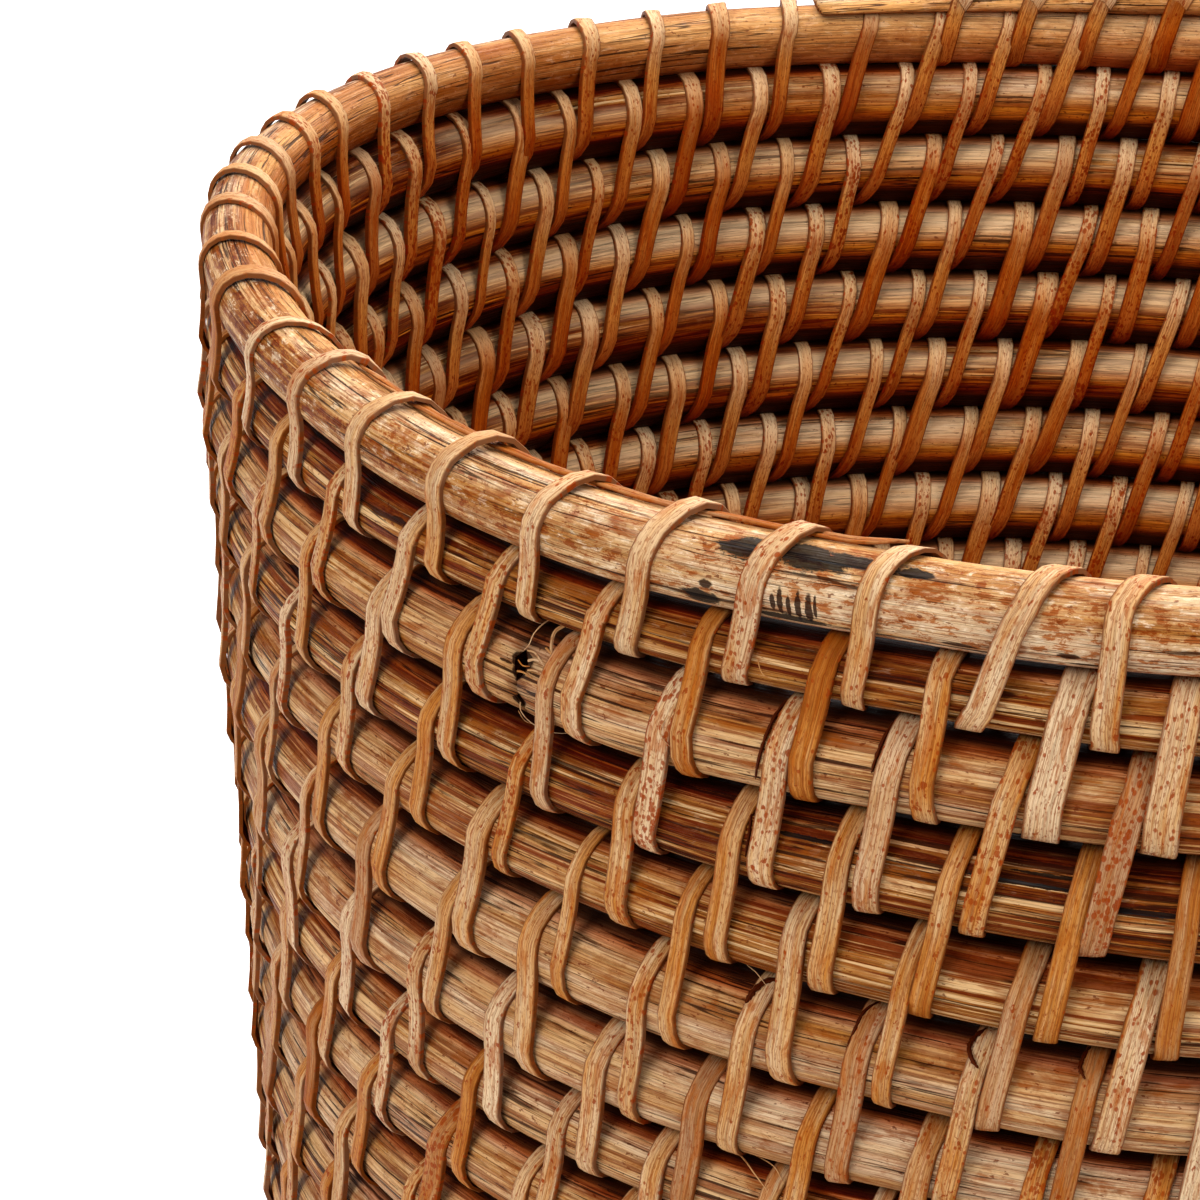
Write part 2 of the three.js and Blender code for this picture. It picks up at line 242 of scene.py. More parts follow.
def groove_height(turn):
    """Height of the groove under the course at a turn."""
    plain = BASE_HEIGHT + PITCH * (turn - 0.5) + BASE_LIFT * np.clip(1 - turn / 4, 0, 1)
    wobble = HEIGHT_WAVER * ripple(turn * RIM_LENGTH, 12, 210) * np.clip(turn - 1, 0, 1)
    return plain + np.interp(turn, GROOVES[:, 0], GROOVES[:, 1]) + wobble


def groove_gap(turn):
    near = np.clip(np.cos(angle_at(turn) - math.radians(NEAR_SIDE)), 0, 1)
    return CANE_GAP + NEAR_GAP * near * np.clip(turn, 0, 1)


def is_rim(turn):
    """0 below the rim course and 1 on it."""
    share = np.clip((turn - WALL_TURNS + RIM_BLEND[0]) / RIM_BLEND[1], 0, 1)
    return share * share * (3 - 2 * share)


def cane_radius(turn):
    """Half the thickness of the cane. A course fills the room between its two grooves."""
    room = groove_height(turn + 1) - groove_height(turn)
    room = np.where(turn < 1, PITCH, room)
    low = (room - groove_gap(turn)) / 2
    plain = low + (RIM_CANE_RADIUS - low) * is_rim(turn)
    return plain * (1 + THICKNESS_WAVER * ripple(turn * RIM_LENGTH, 13, 330))


def coil_height(turn):
    flat = BASE_HEIGHT + BASE_LIFT
    middle = (groove_height(turn) + groove_height(turn + 1)) / 2
    top = groove_height(turn) + groove_gap(turn) / 2 + RIM_CANE_RADIUS
    wall = middle + (top - middle) * is_rim(turn)
    return np.where(turn < 0, flat, wall)


def tail_share(turn):
    return np.clip((turn - WALL_TURNS + TAIL_TURNS) / TAIL_TURNS, 0, 1)


def section(turn):
    """Outward place, height, half width, half thickness and tilt of the cane's section at a turn."""
    out, up = coil_radius(turn), coil_height(turn)
    half = cane_radius(turn)
    share = tail_share(turn)
    lean = math.radians(TAIL_LEAN) * share ** 2 * (3 - 2 * share)
    thick = half + (TAIL_TIP[1] / 2 - half) * share
    wide = half + (TAIL_TIP[0] / 2 - half) * share
    reach = cane_radius(turn - 1) + groove_gap(turn) * (1 - share) + TAIL_GAP * share + thick
    tail_out = coil_radius(turn - 1) - reach * np.sin(lean)
    tail_up = coil_height(turn - 1) + reach * np.cos(lean)
    blend = np.clip(share * 8, 0, 1)
    return out + (tail_out - out) * blend, up + (tail_up - up) * blend, wide, thick, lean


def on_coil(turn, out, up):
    """Points in space from a turn, a distance from the coil's axis and a height."""
    angle = angle_at(turn)
    return np.stack([out * np.cos(angle), out * np.sin(angle), up], -1) + CENTRE


def count_at(turn):
    """Number of the stitch at a turn. The numbers of the lower courses are negative."""
    erf = np.vectorize(math.erf)
    degrees = COIL_END_ANGLE + 360 * (turn - np.floor(turn))
    plain = (360 - 2 * WIDE_EXTRA) / SPACING_ANGLE * (degrees - COIL_END_ANGLE) / 360
    uneven = (degrees - WIDE_EXTRA * (1 + erf((degrees - WIDE_ANGLE) / WIDE_SPREAD))) / SPACING_ANGLE
    wall = STITCHES_PER_TURN * (turn - WALL_TURNS + 1) + uneven - plain + COUNT_SHIFT
    start = STITCHES_PER_TURN * (1 - WALL_TURNS) + COIL_END_ANGLE / SPACING_ANGLE + COUNT_SHIFT
    low = np.minimum(turn, 0)
    base = start + 2 * math.pi * (FOOT_RADIUS * low + PITCH / 2 * low ** 2) / BASE_SPACING
    return np.where(turn < 0, base, wall)


# Meshes

def make_piece(name, points, faces, material, values, node, sharp=None):
    """A mesh piece of the planter. values holds named numbers or vectors for each point, node names
    the solid that it stands for, and edges over sharp degrees are not smoothed."""
    mesh = bpy.data.meshes.new(name)
    points = points.reshape(-1, 3) * MM
    sizes = np.array([len(face) for face in faces], np.int32)
    corners = np.concatenate(faces).astype(np.int32)
    mesh.vertices.add(len(points))
    mesh.vertices.foreach_set("co", points.ravel())
    mesh.loops.add(len(corners))
    mesh.loops.foreach_set("vertex_index", corners)
    mesh.polygons.add(len(sizes))
    mesh.polygons.foreach_set("loop_start", np.r_[0, np.cumsum(sizes)[:-1]].astype(np.int32))
    mesh.polygons.foreach_set("loop_total", sizes)
    mesh.update(calc_edges=True)
    mesh.validate()
    mesh.shade_smooth()
    for key, value in values.items():
        value = np.asarray(value, np.float32)
        kind = "FLOAT_VECTOR" if value.ndim > 1 else "FLOAT"
        layer = mesh.attributes.new(key, kind, "POINT")
        layer.data.foreach_set("vector" if value.ndim > 1 else "value", value.ravel())
    if sharp is not None:
        mesh.set_sharp_from_angle(angle=math.radians(sharp))
    mesh.materials.append(material)
    piece = bpy.data.objects.new(name, mesh)
    bpy.context.scene.collection.objects.link(piece)
    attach(piece, "root")
    if node:
        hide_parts(node)


def tube_faces(rings, sides):
    """Faces of a closed tube of that many rings, as lists of corners."""
    i = np.arange(rings - 1)[:, None] * sides
    k = np.arange(sides)[None, :]
    after = (k + 1) % sides
    quads = np.stack([i + k, i + sides + k, i + sides + after, i + after], -1).reshape(-1, 4)
    caps = [list(range(sides)), list(range((rings - 1) * sides, rings * sides))[::-1]]
    return quads.tolist() + caps


# Canes

CANE_SIDES = 30
CANE_STEP = 3.6  # between the rings of a cane
HOLE_DEPTH = 2.9  # of the hollow in a broken end
HOLE_WIDTH = 0.75  # of the hollow's bottom, as a share of the cane's
HOLE_SHADE = 0.62


def cane_turns(start, end):
    """Turns of the rings of a cane between two turns, evenly spaced along it."""
    dense = np.linspace(start, end, 4000)
    radius = np.maximum(coil_radius(dense), 6)
    length = np.r_[0, np.cumsum(2 * math.pi * radius[1:] * np.diff(dense))]
    rings = max(int(length[-1] / CANE_STEP), 8)
    return np.interp(np.linspace(0, length[-1], rings), length, dense)


def beside(turn, middle, spread):
    """1 at an angle round the coil and less on both sides of it."""
    off = (np.degrees(angle_at(turn)) - middle + 180) % 360 - 180
    return np.exp(-off ** 2 / (2 * spread ** 2))


def course_tone(turn):
    """Share of brown and of dark streaks in the cane at a turn."""
    knots = WALL_TURNS + (NEAR_SIDE - COIL_END_ANGLE) / 360 - np.arange(len(COURSE_TONES), 0, -1)
    known = np.clip(turn - knots[0] + 1, 0, 1) * (0.5 + 0.5 * np.cos(angle_at(turn) - math.radians(275)))
    far_inside = beside(turn, *FAR_LEFT)
    left_rim = beside(turn, *RIM_LEFT) * is_rim(turn)
    tones = []
    for i, seed in ((0, 41), (1, 42)):
        table = np.interp(turn, knots, [tone[i] for tone in reversed(COURSE_TONES)])
        drift = 0.2 * ripple(turn * RIM_LENGTH, seed + 2, 260)
        free = (0.28, 0.16)[i] + 0.28 * ripple(turn * RIM_LENGTH, seed, 900)
        far = (0.45, 0.0)[i] * far_inside + (0.5, 0.25)[i] * left_rim
        tones.append(np.clip(free + (table - free) * known + drift + far, 0, 1))
    return tones


def cane_looks(t, around):
    """What the material is told: painted shade in the nooks, tones, the way that the skin faces, and where
    the rim is.
    """
    # the base and the heel look down where the wall looks outwards
    turned = math.pi / 2 * np.clip(1 - t, 0, 1)
    facing = np.sin(around + turned)
    outer = np.clip(0.5 + 2 * np.cos(around + turned), 0, 1)
    rim = is_rim(t)
    # painted shade: outside, under the course above and on the underside; inside, under the course above
    # and over the lower half
    outer_nook = np.clip((facing - 0.55) / 0.4, 0, 1) * (1 - rim)
    inner_nook = np.maximum(np.clip((facing - 0.75) / 0.25, 0, 1) * (1 - rim),
                            np.clip((0.1 - facing) / 0.65, 0, 1) * (1 - 0.9 * rim))
    nook = outer * np.maximum(outer_nook, np.clip((-facing - 0.8) / 0.2, 0, 1)) + (1 - outer) * inner_nook
    brown, dark = course_tone(t)
    return {"nook": nook, "brown": brown, "dark": dark, "top": facing,
            "inner": (1 - outer) * (1 - 0.75 * rim), "rim": rim}


def make_cane(name, start, end, node, broken=None):
    """A length of cane between two turns. broken names an end that is torn and hollow: there the
    tube turns back into itself."""
    turns = cane_turns(start, end)
    if broken:
        deep = HOLE_DEPTH / RIM_LENGTH
        if broken == "start":
            turns = np.r_[turns[0] + deep, turns]
        else:
            turns = np.r_[turns, turns[-1] - deep]
    around = np.linspace(0, 2 * math.pi, CANE_SIDES, endpoint=False)[None, :]
    out, up, wide, thick, lean = (value[:, None] for value in section(turns))
    t = np.repeat(turns[:, None], CANE_SIDES, 1)
    length = t * RIM_LENGTH
    knots = 0.008 * ripple(length + 40 * np.sin(around), 21, 90) + 0.006 * ripple(length, 22, 45)
    ridges = 0.010 * np.sin(3 * around + 2 * ripple(length, 23, 300)) * ripple(length, 24, 120)
    flats = 0.015 * np.cos(2 * around + 3 * ripple(length, 25, 500))
    swell = 1 + knots + ridges + flats
    # the section before it leans
    a = wide * swell * np.cos(around)
    b = thick * swell * np.sin(around)
    side_out = a * np.cos(lean) - b * np.sin(lean)
    side_up = a * np.sin(lean) + b * np.cos(lean)
    if broken:
        bottom, lip = (0, 1) if broken == "start" else (-1, -2)
        degrees = np.degrees(around[0]) % 360
        hole = sum(depth * np.exp(-(((degrees - place + 180) % 360 - 180) / spread) ** 2)
                   for place, spread, depth in SPLICE_HOLES)
        hole += 0.12 * ripple(np.arange(CANE_SIDES) * 7.3, 53 + lip, 11)
        t[lip] += (hole - 0.5 if broken == "start" else 0.5 - hole) / RIM_LENGTH
        side_out[bottom] *= HOLE_WIDTH
        side_up[bottom] *= HOLE_WIDTH
    points = on_coil(t, out + side_out, np.maximum(up + side_up, STRIP_THICKNESS * 0.6))
    looks = cane_looks(t, around)
    if broken:
        looks["nook"][bottom] = HOLE_SHADE
    values = {"grain": (np.stack([length, a, b], -1) * MM).reshape(-1, 3)}
    values.update({key: value.ravel() for key, value in looks.items()})
    faces = tube_faces(len(turns), CANE_SIDES)
    make_piece(name, points, faces, cane_material, values, node)


# Lashing

# A stitch goes up the outside of two courses, over the upper one, down the inside and under the
# lower one. Its way round is counted in degrees: -90 is under the lower course, 0 to 60 the straight
# outside, 150 over the upper course and 240 to 300 the straight inside.
STATIONS = np.array([-90, -72, -54, -36, -15, 0, 20, 40, 60, 75, 93, 111, 129, 147, 165, 183, 203,
                     223, 240, 260, 280, 300, 318, 338, 358, 376], float)
# How far along the coil, in spacings, a stitch has come at these angles, on the wall and on the rim
WAY = [-90, -60, 0, 60, 115, 150, 165, 185, 240, 300, 355, 390]
PROGRESS = [-0.17, -0.135, -0.07, 0.06, 0.125, 0.15, 0.16, 0.18, 0.30, 0.60, 0.77, 0.83]
RIM_PROGRESS = [-0.17, -0.135, -0.06, 0.07, 0.16, 0.27, 0.33, 0.38, 0.50, 0.68, 0.79, 0.83]
# Corners of the strip's section, in widths across and thicknesses up
STRIP_SECTION = np.array([(-0.5, 0.0), (-0.5, 0.78), (-0.44, 0.94), (-0.2, 1.02), (0.2, 1.02), (0.44, 0.94),
                          (0.5, 0.78), (0.5, 0.0)])
# Of each station: its share of the way from the lower course up to the upper one, its angle round its
# own course with the sine of that, and whether it is outside or straight
UP = np.where(STATIONS < 150, np.clip(STATIONS / 60, 0, 1), np.clip((300 - STATIONS) / 60, 0, 1))
BEND = np.radians(np.where(STATIONS < 60, np.minimum(STATIONS, 0),
                           np.where(STATIONS < 240, STATIONS - 60, np.maximum(STATIONS - 120, 180))))
SINE = np.sin(BEND)
OUTSIDE = (STATIONS < 105) + 0.0
STRAIGHT = (STATIONS >= 0) & (STATIONS <= 60) | (STATIONS >= 240) & (STATIONS <= 300)
STRIP_END = WALL_TURNS - 0.0008  # just short of the tail's tip


def stitch_tables(first, last):
    """Number, place, spacing, random draws, shift of top and bottom, width and tone of the stitches
    from first to last, as columns. A stitch's draws depend on its number alone."""
    index = np.arange(first, last)
    # turns up to the tip of the tail
    grid = np.linspace(-BASE_TURNS + 1.05, WALL_TURNS, 60000)
    counts = count_at(grid)
    here = np.interp(index, counts, grid)
    spacing = np.interp(index + 1, counts, grid) - here
    # past the tip there is no next stitch to measure to
    spacing = np.where(spacing < 0.004, 1 / STITCHES_PER_TURN, spacing)
    draws = np.array([np.random.default_rng(12000 + int(i)).normal(size=10) for i in index]).clip(-2, 2)
    top, bottom = 0.055 * draws[:, 0], 0.055 * draws[:, 1]
    width = STRIP_WIDTH * (1 + 0.13 * draws[:, 4])
    tone = 0.6 * draws[:, 8]
    for row, i in enumerate(index):
        if int(i) in NEAR_STITCHES:
            top[row], bottom[row], width[row], tone[row] = NEAR_STITCHES[int(i)]
    columns = (value[:, None] for value in (top, bottom, width, tone))
    return index[:, None], here[:, None], spacing[:, None], draws, *columns


def stitch_turns(here, spacing, top, bottom):
    """Turn of each stitch at each station. At its end a stitch runs on to where the next one starts."""
    rim = here >= WALL_TURNS - 1
    progress = np.where(rim, np.interp(STATIONS, WAY, RIM_PROGRESS), np.interp(STATIONS, WAY, PROGRESS))
    next_bottom = np.append(bottom[1:], [[0]], 0)
    rise = np.clip((STATIONS + 40) / 140, 0, 1)
    fall = np.clip((STATIONS - 200) / 140, 0, 1)
    shift = bottom * (1 - rise) + top * rise * (1 - fall) + next_bottom * fall
    return np.minimum(here + spacing * (progress + shift), STRIP_END)


def round_courses(turn):
    """The way round the course at a turn and the one below it, in the plane across the coil: places
    as distance from the axis and height, and the direction away from the canes."""
    out1, up1, wide1, thick1, _ = section(turn)
    out0, up0, wide0, thick0, _ = section(turn - 1)
    r1 = np.minimum((wide1 + thick1) / 2, thick1 + STRIP_REACH)
    r0 = np.minimum((wide0 + thick0) / 2, thick0 + STRIP_REACH)
    gap = np.hypot(out1 - out0, up1 - up0)
    axis = np.stack([(out1 - out0) / gap, (up1 - up0) / gap], -1)
    side = np.stack([axis[..., 1], -axis[..., 0]], -1)
    tangent = np.arcsin(np.clip((r0 - r1) / gap, -0.9, 0.9))
    bent = np.where(STRAIGHT, np.where(STATIONS < 150, tangent, math.pi - tangent), BEND)
    normal = np.cos(bent)[..., None] * side + np.sin(bent)[..., None] * axis
    lower = np.stack([out0, up0], -1) + r0[..., None] * normal
    upper = np.stack([out1, up1], -1) + r1[..., None] * normal
    return lower * (1 - UP[:, None]) + upper * UP[:, None], normal


def strip_form(turn, rim, draws, width):
    """How far the strip lies off its path, its width, its thickness and how much its edges tip."""
    dip = 4 * UP * (1 - UP) * (0.1 + 0.12 * np.abs(draws[:, 2:3]))
    bow = 0.25 * np.clip(SINE, 0, 1) * UP * (1 + 0.5 * draws[:, 3:4]) * rim
    over_sliver = rim * (angle_at(turn) > SLIVER[0]) * (angle_at(turn) < SLIVER[1])
    bow = bow + 0.85 * over_sliver * np.clip(1 - np.abs(STATIONS - 172) / 45, 0, 1) * UP
    # its lower part lies over the strip of the course below, and its top under that of the next one
    over = np.clip(1 - UP * 1.5, 0, 1) * np.clip(1 + 1.15 * SINE, 0.1, 1)
    over = over * np.where(OUTSIDE > 0, 0.4, 0.3)
    hidden = np.clip((SINE - 0.2) / 0.5, 0, 1) * UP * (1 - rim)
    lift = 0.05 - dip + bow + over
    width = width * (1 + 0.04 * draws[:, 5:6] * (UP - 0.5)) * (1 - 0.12 * hidden * OUTSIDE)
    thickness = STRIP_THICKNESS * (1 + 0.1 * draws[:, 6:7])
    thickness = thickness * (1 - 0.3 * np.clip(-SINE, 0, 1)) * (1 - 0.25 * hidden)
    tip = 0.16 * draws[:, 7:8] - 0.12 * UP * OUTSIDE
    return lift, width, thickness, tip


def strip_points(turn, lift, width, thickness, tip):
    """Points of the strip's section at every station, and the length of the strip up to there."""
    base, normal = round_courses(turn)
    angle = angle_at(turn)
    flat = np.zeros_like(angle)
    outward = np.stack([np.cos(angle), np.sin(angle), flat], -1)
    forward = np.stack([-np.sin(angle), np.cos(angle), flat], -1)
    face = normal[..., :1] * outward + normal[..., 1:] * (0, 0, 1)
    centre = on_coil(turn, base[..., 0], base[..., 1]) + face * lift[..., None]
    path = centre.reshape(-1, 3)
    run = np.gradient(path, axis=0).reshape(centre.shape)
    across = np.cross(run, face)
    across /= np.linalg.norm(across, axis=-1, keepdims=True)
    across *= np.sign((across * forward).sum(-1, keepdims=True))
    x, h = STRIP_SECTION.T
    height = (thickness[..., None] * h + tip[..., None] * x)[..., None]
    points = centre[..., None, :] + face[..., None, :] * height
    points = points + across[..., None, :] * (width[..., None] * x)[..., None]
    points[..., 2] = np.maximum(points[..., 2], 0.02)
    along = np.cumsum(np.r_[0, np.linalg.norm(np.diff(path, axis=0), axis=1)])
    return points, along.reshape(turn.shape)


def strip_looks(rim):
    """Of each station: shade in the nooks, light on the crest of a stitch, and the inside."""
    nook = np.clip((SINE - 0.6) / 0.4, 0, 1) * UP * (1 - rim) * OUTSIDE
    nook = np.maximum(nook, np.clip(-SINE - 0.55, 0, 1))
    nook = np.maximum(nook, (1 - OUTSIDE) * np.clip(-SINE, 0, 1) * (1 - UP))
    nook = np.maximum(nook, (1 - OUTSIDE) * 0.45 * np.clip((STATIONS - 245) / 60, 0, 1))
    # painted light on the heads of the stitches inside and on their crests over the rim
    head = (1 - OUTSIDE) * np.clip(1.3 - np.abs(STATIONS - 190) / 40, 0, 1)
    crest = np.maximum(0.4 * UP * np.clip(SINE, 0, 1) * rim, head)
    return {"nook": nook, "crest": crest, "inner": np.clip((STATIONS - 195) / 70, 0, 1)}


def make_lashing(name, first, last, node=None):
    """One long strip that makes the stitches from first to last, counted along the coil."""
    index, here, spacing, draws, top, bottom, width, tone = stitch_tables(first, last)
    rim = here >= WALL_TURNS - 1
    turn = stitch_turns(here, spacing, top, bottom)
    lift, width, thickness, tip = strip_form(turn, rim, draws, width)
    points, along = strip_points(turn, lift, width, thickness, tip)
    x = STRIP_SECTION[:, 0]
    full = np.ones(points.shape[:-1])
    # each stitch has its own part of the grain
    own = 37.0 * index[:, None] % 997
    grain = np.stack([along[..., None] * full, width[..., None] * x, own * full], -1)
    looks = {"tone": tone, "spots": draws[:, 9:10], "shade": draws[:, 7:8], **strip_looks(rim)}
    values = {"grain": grain.reshape(-1, 3) * MM}
    values.update({key: (value[..., None] * full).ravel() for key, value in looks.items()})
    values["edge"] = (2 * np.abs(x) * full).ravel()
    faces = tube_faces(turn.size, len(STRIP_SECTION))
    make_piece(name, points, faces, strip_material, values, node, sharp=35)


# Sliver and loose fibres

STRAND_LOOK = {"tone": 0.0, "spots": -2.0, "nook": 0.0, "crest": 0.0, "inner": 0.0, "edge": 0.4,
               "shade": 0.0}


def make_strand(name, middle, face, width, thickness, values, node=None, sides=8):
    """A thin strand along a path, with its own width and thickness at each place. face points away
    from what it lies on."""
    run = np.gradient(middle, axis=0)
    across = np.cross(run, face)
    across /= np.linalg.norm(across, axis=1, keepdims=True)
    around = np.linspace(0, 2 * math.pi, sides, endpoint=False)
    ring = (across[:, None] * (np.cos(around) * width[:, None] / 2)[..., None]
            + face[:, None] * (np.sin(around) * thickness[:, None] / 2)[..., None])
    points = middle[:, None] + ring
    length = np.cumsum(np.r_[0, np.linalg.norm(np.diff(middle, axis=0), axis=1)])
    grain = np.stack([np.repeat(length[:, None], sides, 1), np.cos(around) * width[:, None] / 2,
                      np.full((len(middle), sides), 5.0)], -1)
    full = np.ones((len(middle), sides))
    layers = {"grain": grain.reshape(-1, 3) * MM}
    layers.update({key: (value * full).ravel() for key, value in values.items()})
    make_piece(name, points, tube_faces(len(middle), sides), strip_material, layers, node, sharp=60)


def make_sliver():
    """Cane skin tucked under the rim stitches, in two strands, with a loose end that curls up."""
    # name, degrees nearer to the outside, width, thickness and loose length
    strands = (("sliver_skin", 0.0, 1.0, 0.6, 6.8), ("sliver_strand", 11.0, 0.6, 0.45, 5.2))
    for number, (name, extra, width, thickness, loose) in enumerate(strands):
        end = SLIVER[1] + math.radians(0.4 * number)
        free = loose / RIM_RADIUS
        angle = np.linspace(SLIVER[0] + 0.05 * number, end + free, 260)
        turn = WALL_TURNS + (angle - math.radians(COIL_END_ANGLE)) / (2 * math.pi)
        out, up, _, thick, _ = section(turn)
        side = np.radians(SLIVER_SIDE - extra) + 0.06 * ripple(angle * RIM_RADIUS, 61 + number, 60)
        past = np.clip((angle - end) / free, 0, 1)
        lift = thick + thickness / 2 + 0.1 + 0.2 * np.abs(ripple(angle * RIM_RADIUS, 63 + number, 30))
        curl = 0.3 * past + 0.5 * past ** 3
        middle = on_coil(turn, out + lift * np.cos(side), up + lift * np.sin(side) + curl)
        spin = angle_at(turn)
        face = np.stack([np.cos(side) * np.cos(spin), np.cos(side) * np.sin(spin), np.sin(side)], -1)
        shape = np.clip((angle - angle[0]) * RIM_RADIUS / 8, 0.15, 1) * (1 - 0.8 * past ** 3)
        shape = shape * (1 + 0.15 * ripple(angle * RIM_RADIUS, 65 + number, 25))
        make_strand(name, middle, face, width * shape, thickness * np.sqrt(shape),
                    {**STRAND_LOOK, "tone": 0.6, "shade": -2.0},
                    "rim_sliver" if number == 0 else None)


def catmull(knots, value):
    """A point on a smooth curve through the knots."""
    i = min(int(value), len(knots) - 2)
    t = value - i
    p = [knots[max(i - 1, 0)], knots[i], knots[i + 1], knots[min(i + 2, len(knots) - 1)]]
    return 0.5 * (2 * p[1] + (p[2] - p[0]) * t + (2 * p[0] - 5 * p[1] + 4 * p[2] - p[3]) * t ** 2
                  + (3 * p[1] - p[0] - 3 * p[2] + p[3]) * t ** 3)


def near_path(course, knots):
    """A smooth path over a course, and the way out from the wall along it."""
    knots = np.array(knots, float)
    fine = np.linspace(0, len(knots) - 1, 12 * len(knots))
    smooth = np.array([catmull(knots, value) for value in fine])
    turn = WALL_TURNS - course + (smooth[:, 0] - COIL_END_ANGLE) / 360
    out, up, wide, thick, _ = section(turn)
    side = np.radians(smooth[:, 1])
    lift = smooth[:, 2]
    middle = on_coil(turn, out + (wide + lift) * np.cos(side), up + (thick + lift) * np.sin(side))
    spin = angle_at(turn)
    return middle, np.stack([np.cos(spin) * np.cos(side), np.sin(spin) * np.cos(side), np.sin(side)], -1)


def make_fibres():
    for number, (course, tone, radius, knots) in enumerate(FIBRES):
        middle, face = near_path(course, knots)
        size = 2 * radius * (1 - 0.6 * np.linspace(0, 1, len(middle)) ** 2)
        make_strand(f"fibre_{number + 1}", middle, face, size, size * 0.8,
                    {**STRAND_LOOK, "tone": tone}, sides=6)


def make_peels():
    for number, (course, width, knots) in enumerate(PEELS):
        middle, face = near_path(course, knots)
        steps = np.arange(len(middle))
        size = width * (1 + 0.3 * ripple(steps, 71 + number, 9))
        size = size * np.clip(1.2 - (steps / steps[-1]) ** 6, 0, 1)
        make_strand(f"peel_{number + 1}", middle, face, size, 0.25 + 0.2 * size,
                    {**STRAND_LOOK, "tone": 1.0, "nook": 1.0})


# Materials

class Shade:
    """A material's node graph, with short calls for the nodes that it uses."""

    def __init__(self, name):
        self.material = bpy.data.materials.new(name)
        self.material.use_nodes = True
        self.tree = self.material.node_tree
        self.shader = self.tree.nodes["Principled BSDF"]

    def link(self, source, target):
        if isinstance(source, (int, float, tuple)):
            target.default_value = source
        else:
            self.tree.links.new(source, target)

    def surface(self, key, source):
        """Gives the material's shader a value or an output."""
        self.link(source, self.shader.inputs[key])

    def node(self, kind, inputs):
        """A new node with each input set to a value or linked to an output."""
        node = self.tree.nodes.new("ShaderNode" + kind)
        for key, source in inputs.items():
            self.link(source, node.inputs[key])
        return node

    def attribute(self, name, output="Fac"):
        node = self.node("Attribute", {})
        node.attribute_name = name
        return node.outputs[output]

    def stretch(self, vector, scale, shift=(0, 0, 0)):
        return self.node("Mapping", {"Vector": vector, "Scale": scale, "Location": shift}).outputs[0]

    def noise(self, vector, detail, rough=0.55, distort=0.0):
        node = self.node("TexNoise", {"Vector": vector, "Scale": 1.0, "Detail": detail,
                                      "Roughness": rough, "Distortion": distort})
        return node.outputs["Fac"]

    def ramp(self, value, low, high, start=0.0, end=1.0):
        node = self.node("MapRange", {"Value": value, "From Min": low, "From Max": high,
                                      "To Min": start, "To Max": end})
        node.interpolation_type = "SMOOTHSTEP"
        return node.outputs["Result"]

    def math(self, operation, a, b=0.0):
        node = self.node("Math", {0: a, 1: b})
        node.operation = operation
        return node.outputs[0]

    def plus(self, a, b):
        return self.math("ADD", a, b)

    def minus(self, a, b):
        return self.math("SUBTRACT", a, b)

    def times(self, a, b):
        return self.math("MULTIPLY", a, b)

    def mix(self, factor, a, b, mode="MIX"):
        node = self.node("Mix", {"Factor": factor})
        node.data_type = "RGBA"
        node.blend_type = mode
        self.link(a, node.inputs[6])
        self.link(b, node.inputs[7])
        return node.outputs[2]

    def colours(self, value, stops):
        node = self.node("ValToRGB", {"Fac": value})
        ramp = node.color_ramp
        for element, (place, colour) in zip(ramp.elements, (stops[0], stops[-1])):
            element.position, element.color = place, colour
        for place, colour in stops[1:-1]:
            ramp.elements.new(place).color = colour
        return node.outputs["Color"]

    def lines(self, vector, scale, shift, width):
        """Thin lines along the grain, where a stretched noise passes its middle value."""
        wave = self.noise(self.stretch(vector, scale, shift), 2, 0.5)
        off = self.math("ABSOLUTE", self.minus(wave, 0.5))
        return self.ramp(off, width, width * 0.3)

    def patch(self, x, x_middle, x_half, y, y_middle, y_half):
        """Distance from the middle of an oval patch, 1 at its edge."""
        a = self.math("DIVIDE", self.minus(x, x_middle), x_half)
        b = self.math("DIVIDE", self.minus(y, y_middle), y_half)
        return self.math("SQRT", self.plus(self.times(a, a), self.times(b, b)))

    def patches(self, places, along, around, noise, ragged):
        """1 within any of the patches and 0 outside. A noise makes their edges ragged."""
        frayed = self.times(self.minus(noise, 0.5), ragged)
        total = 0.0
        for course, degrees, side, half_length, half_width in places:
            turn = WALL_TURNS - course + (degrees - COIL_END_ANGLE) / 360
            half = RIM_LENGTH * MM * half_length / 360
            oval = self.patch(along, turn * RIM_LENGTH * MM, half,
                              around, math.radians(side), math.radians(half_width))
            inside = self.ramp(self.plus(oval, frayed), 1.15, 0.85)
            total = self.math("MAXIMUM", total, inside)
        return total

    def bump(self, height, distance):
        return self.node("Bump", {"Distance": distance, "Height": height}).outputs["Normal"]


